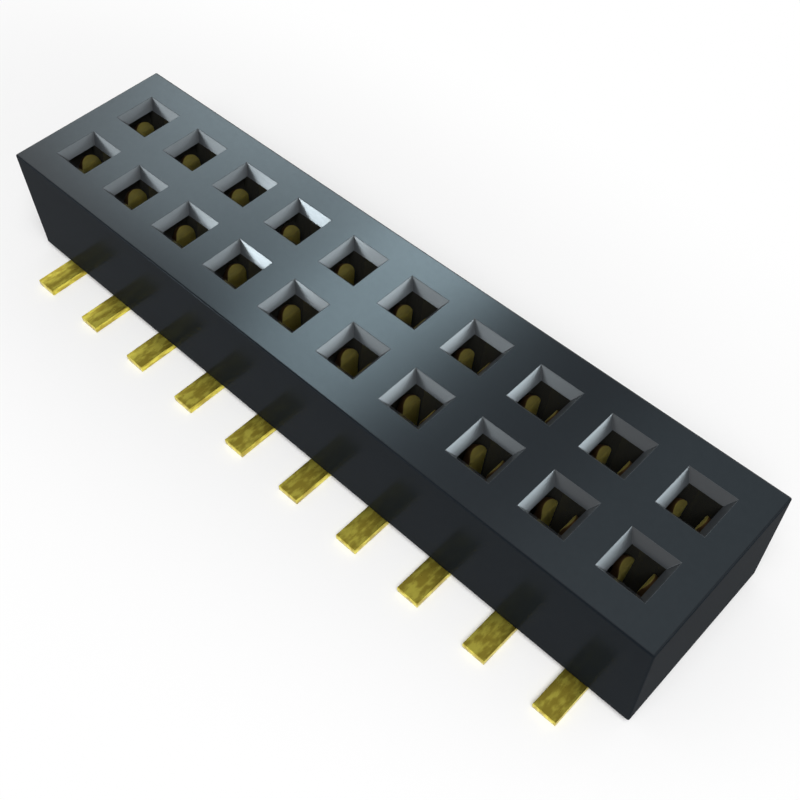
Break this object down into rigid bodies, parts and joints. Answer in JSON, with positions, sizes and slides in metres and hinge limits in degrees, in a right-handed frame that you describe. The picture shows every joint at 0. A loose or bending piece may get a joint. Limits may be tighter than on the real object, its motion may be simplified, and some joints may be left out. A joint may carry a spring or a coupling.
{
  "type": "board to board connector",
  "caption": "Low-profile surface-mount socket strip with two rows of square sockets and flat gold-plated feet, to join two circuit boards.",
  "frame": {"origin": "on the board's plane, which the undersides of the feet lie on, under the middle of the part", "axes": "+X along the two rows, -Y towards the front row's feet, +Z out of the mating face"},
  "size_m": [0.0132, 0.0044, 0.0022],
  "materials": {
    "housing_plastic": "smooth black moulding, semi-gloss to glossy",
    "contact_metal": "gold plating over phosphor bronze strip"
  },
  "bodies": {
    "root": {"housing": "housing_plastic", "contact_front_01": "contact_metal", "contact_front_02": "contact_metal", "contact_front_03": "contact_metal", "contact_front_04": "contact_metal", "contact_front_05": "contact_metal", "contact_front_06": "contact_metal", "contact_front_07": "contact_metal", "contact_front_08": "contact_metal", "contact_front_09": "contact_metal", "contact_front_10": "contact_metal", "contact_back_01": "contact_metal", "contact_back_02": "contact_metal", "contact_back_03": "contact_metal", "contact_back_04": "contact_metal", "contact_back_05": "contact_metal", "contact_back_06": "contact_metal", "contact_back_07": "contact_metal", "contact_back_08": "contact_metal", "contact_back_09": "contact_metal", "contact_back_10": "contact_metal"}
  },
  "joints": []
}
